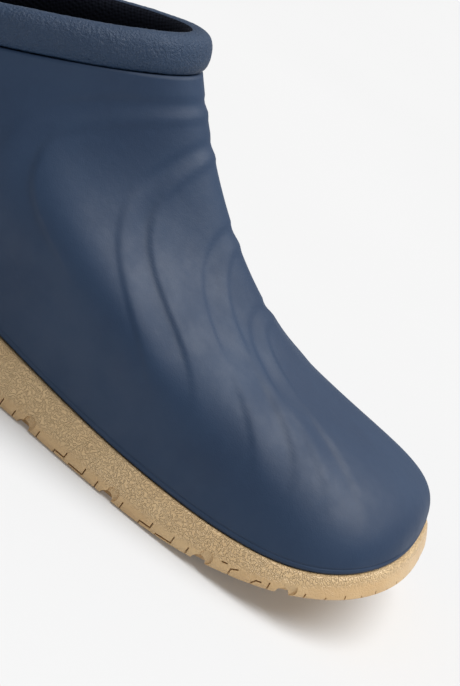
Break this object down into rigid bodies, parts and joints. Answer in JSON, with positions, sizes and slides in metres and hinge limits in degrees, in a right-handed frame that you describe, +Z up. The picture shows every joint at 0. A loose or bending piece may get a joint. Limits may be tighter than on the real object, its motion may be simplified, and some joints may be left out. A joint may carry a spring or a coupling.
{
  "type": "rubber garden clog",
  "caption": "Right-foot rubber garden clog: moulded shell with rolled collar, textured gum sole, textile lining and a loose cushioned footbed.",
  "frame": {"origin": "on the ground, at the centre of the shoe's outline box", "axes": "+X toward the toe, +Y toward the inner side of the right foot, +Z up"},
  "size_m": [0.295, 0.118, 0.1269],
  "materials": {
    "gum_rubber": "pebbled matte gum rubber",
    "shell_rubber": "smooth satin navy rubber",
    "collar_rubber": "fine-grained matte navy rubber",
    "lining_textile": "dark knitted textile",
    "stiffener": "matte black sheet",
    "core_foam": "foamed, matte",
    "board": "pressed fibre board",
    "footbed_foam": "closed-cell foam, matte",
    "footbed_cloth": "brushed woven cloth"
  },
  "bodies": {
    "shoe": {"outsole": "gum_rubber", "cushion_core": "core_foam", "insole_board": "board", "upper_shell": "shell_rubber", "collar_roll": "collar_rubber", "lining": "lining_textile", "heel_counter": "stiffener", "toe_puff": "stiffener"},
    "footbed": {"footbed_foam": "footbed_foam", "footbed_cover": "footbed_cloth"}
  },
  "joints": [
    {"name": "footbed_lift", "type": "hinge", "parent": "shoe", "child": "footbed", "pos_m": [0.135, 0, 0.024], "axis": [0, 1, 0], "range_deg": [0, 3]}
  ]
}
